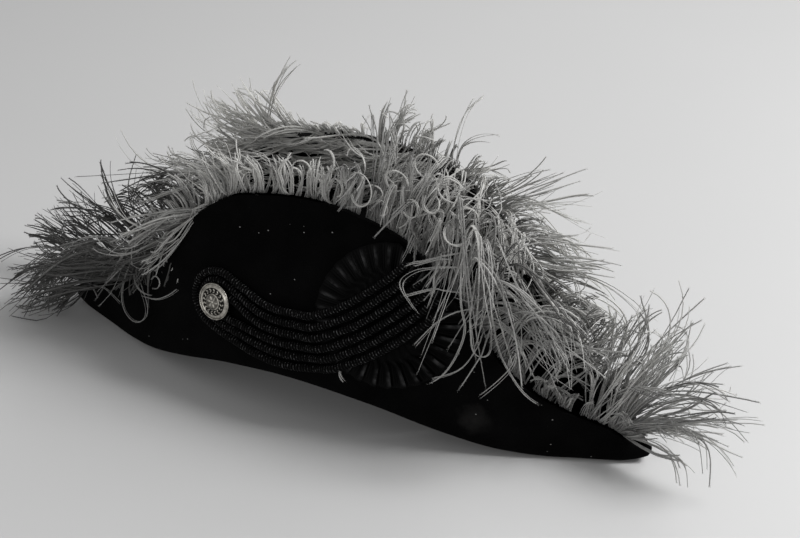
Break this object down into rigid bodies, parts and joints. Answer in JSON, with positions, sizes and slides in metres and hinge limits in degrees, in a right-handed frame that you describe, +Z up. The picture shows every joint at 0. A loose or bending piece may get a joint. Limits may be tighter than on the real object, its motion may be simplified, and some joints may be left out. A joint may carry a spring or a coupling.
{
  "type": "bicorne hat",
  "caption": "Felt bicorne with its brim turned up into two tall flaps, an open head hollow, a pleated cockade, cord loops, a button and an ostrich feather fringe.",
  "frame": {"origin": "on the surface that the hat stands on, under the middle of the dressed hat's box", "axes": "+X towards the front point, +Z up, and -Y towards the flap that carries the cockade"},
  "size_m": [0.5484, 0.1593, 0.2132],
  "materials": {
    "felt": "black fur felt with a short nap",
    "ribbon": "black pleated silk ribbon",
    "cord": "black coiled gimp cord",
    "button": "dull gilt, worn on its high places",
    "feather": "pale ostrich barbs"
  },
  "bodies": {
    "root": {"brim": "felt", "crown": "felt", "cockade": "ribbon", "loop_cord_inner": "cord", "loop_cord_middle": "cord", "loop_cord_outer": "cord", "button": "button", "feather_trim_near": "feather", "feather_trim_far": "feather"}
  },
  "joints": []
}
